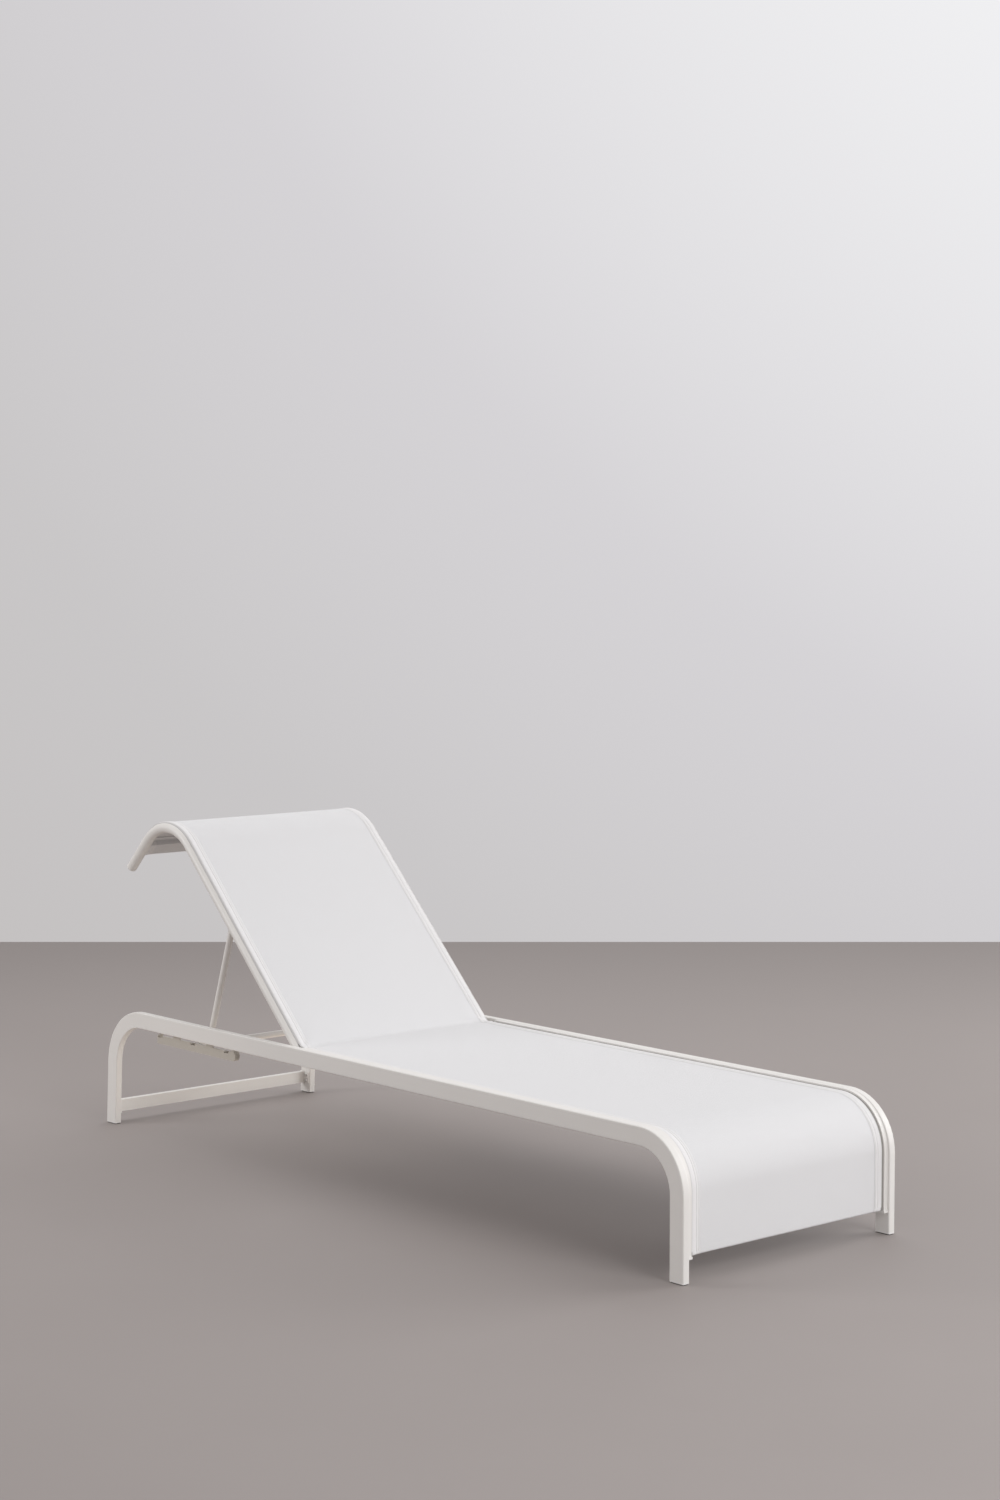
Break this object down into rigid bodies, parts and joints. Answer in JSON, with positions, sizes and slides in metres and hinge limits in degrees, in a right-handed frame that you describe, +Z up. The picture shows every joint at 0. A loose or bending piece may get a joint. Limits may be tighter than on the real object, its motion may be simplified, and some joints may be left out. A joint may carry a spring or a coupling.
{
  "type": "reclining sun lounger",
  "caption": "Low garden lounger with bent flat-tube side rails, a tensioned textile sling and a hinged backrest that curls over at the head, held by a prop in notched racks.",
  "frame": {"origin": "on the floor, midway between the four legs and midway across the width", "axes": "+X towards the foot end, +Y towards the left side of a person lying on it, +Z up"},
  "size_m": [2.1, 0.64, 0.7915],
  "materials": {
    "powder_coat": "matte",
    "white_plastic": "satin",
    "glide_rubber": "matte",
    "keder_plastic": "satin",
    "sling_fabric": "matte",
    "stainless": "satin",
    "nylon": "satin"
  },
  "bodies": {
    "frame": {"side_rail_left": "powder_coat", "side_rail_right": "powder_coat", "foot_caps": "white_plastic", "foot_glides": "glide_rubber", "seat_track_left": "powder_coat", "seat_track_right": "powder_coat", "track_end_caps": "white_plastic", "seat_keder_rods": "keder_plastic", "seat_sling": "sling_fabric", "sling_hem_rod": "powder_coat", "seat_spreader_rear": "powder_coat", "seat_spreader_middle": "powder_coat", "seat_spreader_foot": "powder_coat", "head_leg_crossbar": "powder_coat", "crossbar_bolts": "stainless", "prop_rack_left": "powder_coat", "prop_rack_right": "powder_coat", "rack_screws": "stainless", "rail_insert_nuts": "stainless", "hinge_bolts": "stainless", "hinge_washers": "nylon", "hinge_insert_nuts": "stainless"},
    "backrest": {"backrest_tube_left": "powder_coat", "backrest_tube_right": "powder_coat", "backrest_tip_caps": "white_plastic", "backrest_heel_caps": "white_plastic", "backrest_keder_rods": "keder_plastic", "backrest_sling": "sling_fabric", "backrest_lower_crossbar": "powder_coat", "backrest_middle_crossbar": "powder_coat", "backrest_head_crossbar": "powder_coat", "prop_bracket_left": "powder_coat", "prop_bracket_right": "powder_coat", "prop_pivot_bolts": "stainless", "prop_pivot_nuts": "stainless", "prop_washers": "nylon"},
    "prop": {"prop_arm_left": "powder_coat", "prop_arm_right": "powder_coat", "prop_arm_plugs": "white_plastic", "prop_crossbar": "powder_coat", "prop_crossbar_plugs": "white_plastic"}
  },
  "joints": [
    {"name": "backrest_hinge", "type": "hinge", "parent": "frame", "child": "backrest", "pos_m": [-0.262, 0, 0.285], "axis": [0, 1, 0], "range_deg": [-44, 5]},
    {"name": "prop_pivot", "type": "hinge", "parent": "backrest", "child": "prop", "pos_m": [-0.57398, 0, 0.57605], "axis": [0, 1, 0], "range_deg": [-57.5, 6.6]}
  ],
  "couplings": [
    {"joint": "prop_pivot", "follows": "backrest_hinge", "ratio": 1.3}
  ]
}
